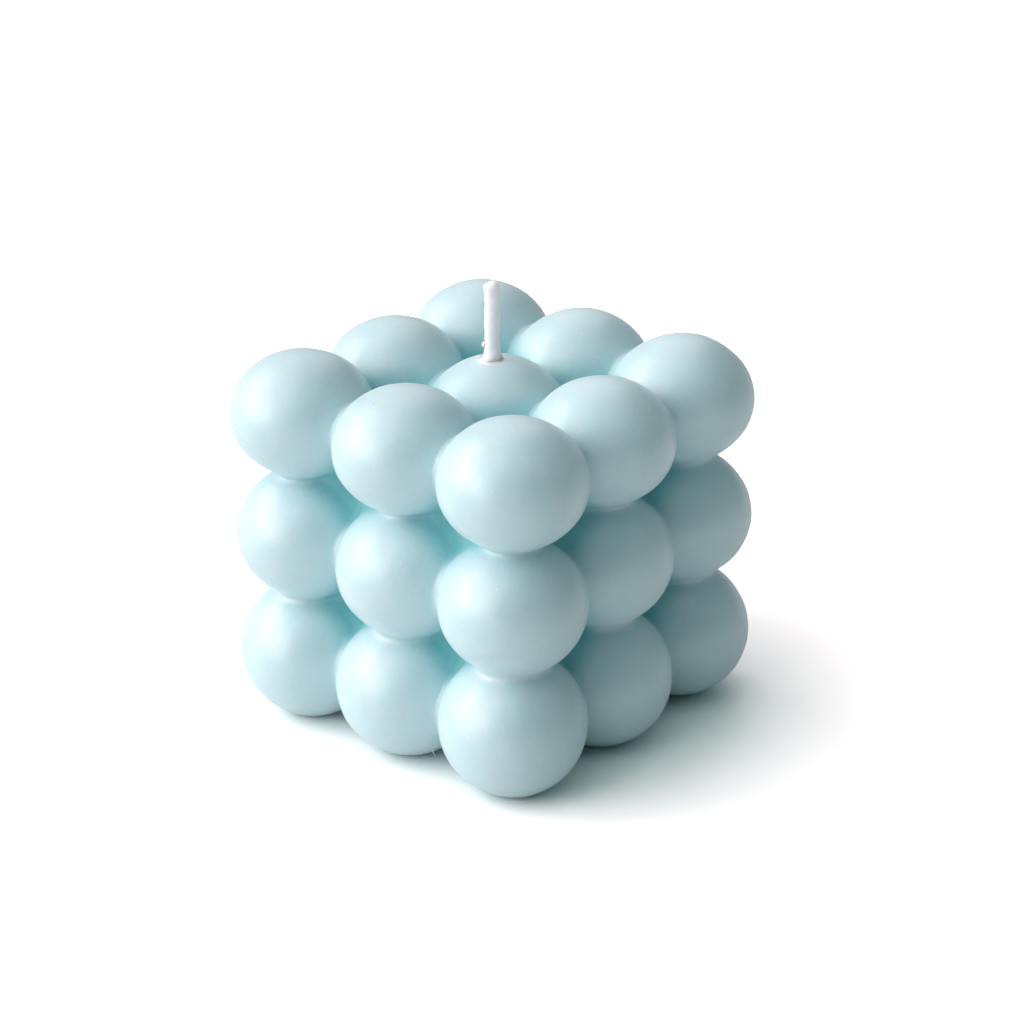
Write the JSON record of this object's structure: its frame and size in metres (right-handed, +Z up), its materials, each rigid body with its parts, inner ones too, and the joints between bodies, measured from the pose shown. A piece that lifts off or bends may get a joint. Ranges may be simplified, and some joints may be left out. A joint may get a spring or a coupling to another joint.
{
  "type": "cube candle",
  "caption": "Cube-shaped wax candle cast as a block of fused balls with small necks and closed pits between them, one waxed cotton wick standing from the ball at the middle of the top.",
  "frame": {"origin": "middle of the base, on the surface the candle stands on", "axes": "+Z up along the wick, X and Y square to the sides of the block"},
  "size_m": [0.0602, 0.06, 0.0667],
  "materials": {
    "wax": "smooth cast wax, powder blue, satin and slightly see-through, deeper teal in the pits",
    "wick": "white braided cotton soaked in wax"
  },
  "bodies": {
    "root": {"wax_body": "wax", "wick": "wick"}
  },
  "joints": []
}
